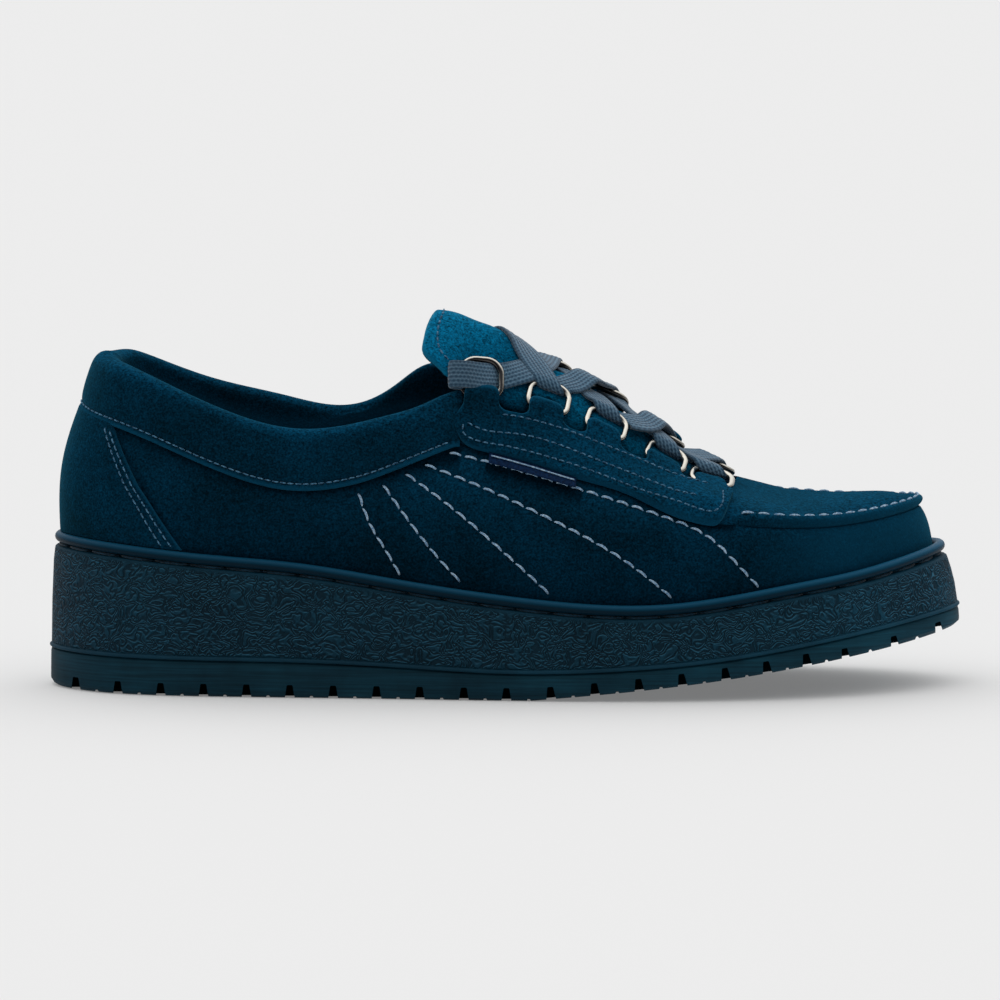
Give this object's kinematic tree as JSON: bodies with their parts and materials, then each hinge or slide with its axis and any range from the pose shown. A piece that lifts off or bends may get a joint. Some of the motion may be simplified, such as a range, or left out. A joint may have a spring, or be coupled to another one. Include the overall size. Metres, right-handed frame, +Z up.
{
  "type": "low lace-up shoe",
  "caption": "Low lace-up shoe with a moccasin toe seam, padded collar, wire ring eyelets, flat criss-cross lace and a thick wedge sole with a grooved tread.",
  "frame": {"origin": "on the floor, under the middle of the shoe's box", "axes": "+X from heel to toe, +Y towards the inner (medial) side, +Z up from the floor"},
  "size_m": [0.2761, 0.0964, 0.1135],
  "materials": {
    "suede": "soft brushed suede, petrol blue",
    "tongue_suede": "soft brushed suede, lighter teal blue",
    "rubber": "satin moulded rubber, petrol blue",
    "cotton": "flat woven cotton, grey blue",
    "cloth": "woven lining cloth",
    "steel": "polished nickel wire"
  },
  "bodies": {
    "root": {"outsole": "rubber", "midsole": "rubber", "welt": "rubber", "insole": "cloth", "upper": "suede", "collar": "suede", "heel_counter": "suede", "tongue": "tongue_suede", "eyestay_lateral": "suede", "eyestay_medial": "suede", "ring_lateral_1": "steel", "ring_lateral_2": "steel", "ring_lateral_3": "steel", "ring_lateral_4": "steel", "ring_lateral_5": "steel", "ring_medial_1": "steel", "ring_medial_2": "steel", "ring_medial_3": "steel", "ring_medial_4": "steel", "ring_medial_5": "steel", "lace": "cotton", "tag": "cloth"}
  },
  "joints": []
}
